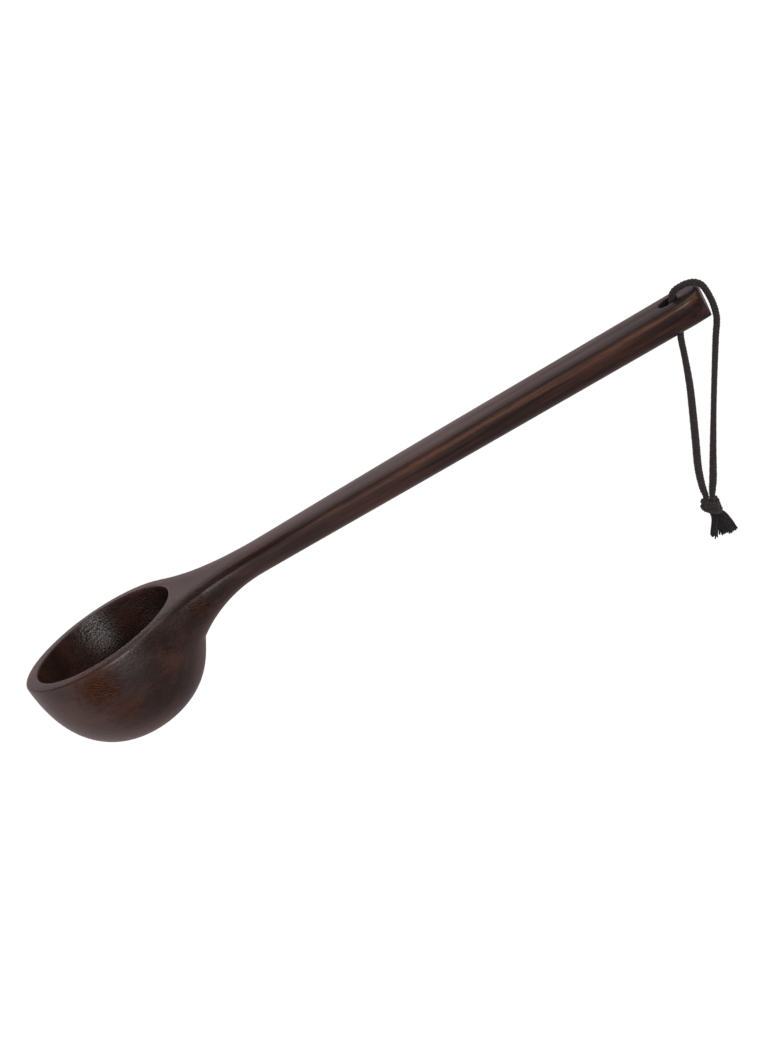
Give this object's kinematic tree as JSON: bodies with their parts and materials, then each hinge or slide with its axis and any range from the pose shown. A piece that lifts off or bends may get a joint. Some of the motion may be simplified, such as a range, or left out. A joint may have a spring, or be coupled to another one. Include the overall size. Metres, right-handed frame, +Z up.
{
  "type": "sauna ladle",
  "caption": "Long-handled carved wooden sauna ladle with a deep round bowl, flat-topped handle and a knotted cord loop hanging from a hole in the handle's end.",
  "frame": {"origin": "in the middle of the hand grip, inside the handle, 8 mm below its flat top and 143 mm from its end", "axes": "+Z up; +X horizontal, towards the handle's end; +Y across the ladle. The handle rises 32.5 degrees towards +X, as a hand holds it, and the cord loop hangs straight down."},
  "size_m": [0.3628, 0.095, 0.2489],
  "materials": {
    "smoked_wood": "dark stained hardwood, satin oil lacquer",
    "black_cotton_cord": "braided black cotton"
  },
  "bodies": {
    "ladle_body": {"ladle": "smoked_wood", "cord_over_end": "black_cotton_cord"},
    "cord_loop": {"cord_front_leg": "black_cotton_cord", "cord_rear_leg": "black_cotton_cord", "overhand_knot": "black_cotton_cord", "frayed_tail_left": "black_cotton_cord", "frayed_tail_right": "black_cotton_cord"}
  },
  "joints": [
    {"name": "loop_swing", "type": "hinge", "parent": "ladle_body", "child": "cord_loop", "pos_m": [0.10943, 0, 0.05548], "axis": [0.8486, 0, 0.529], "range_deg": [-70, 70]}
  ]
}
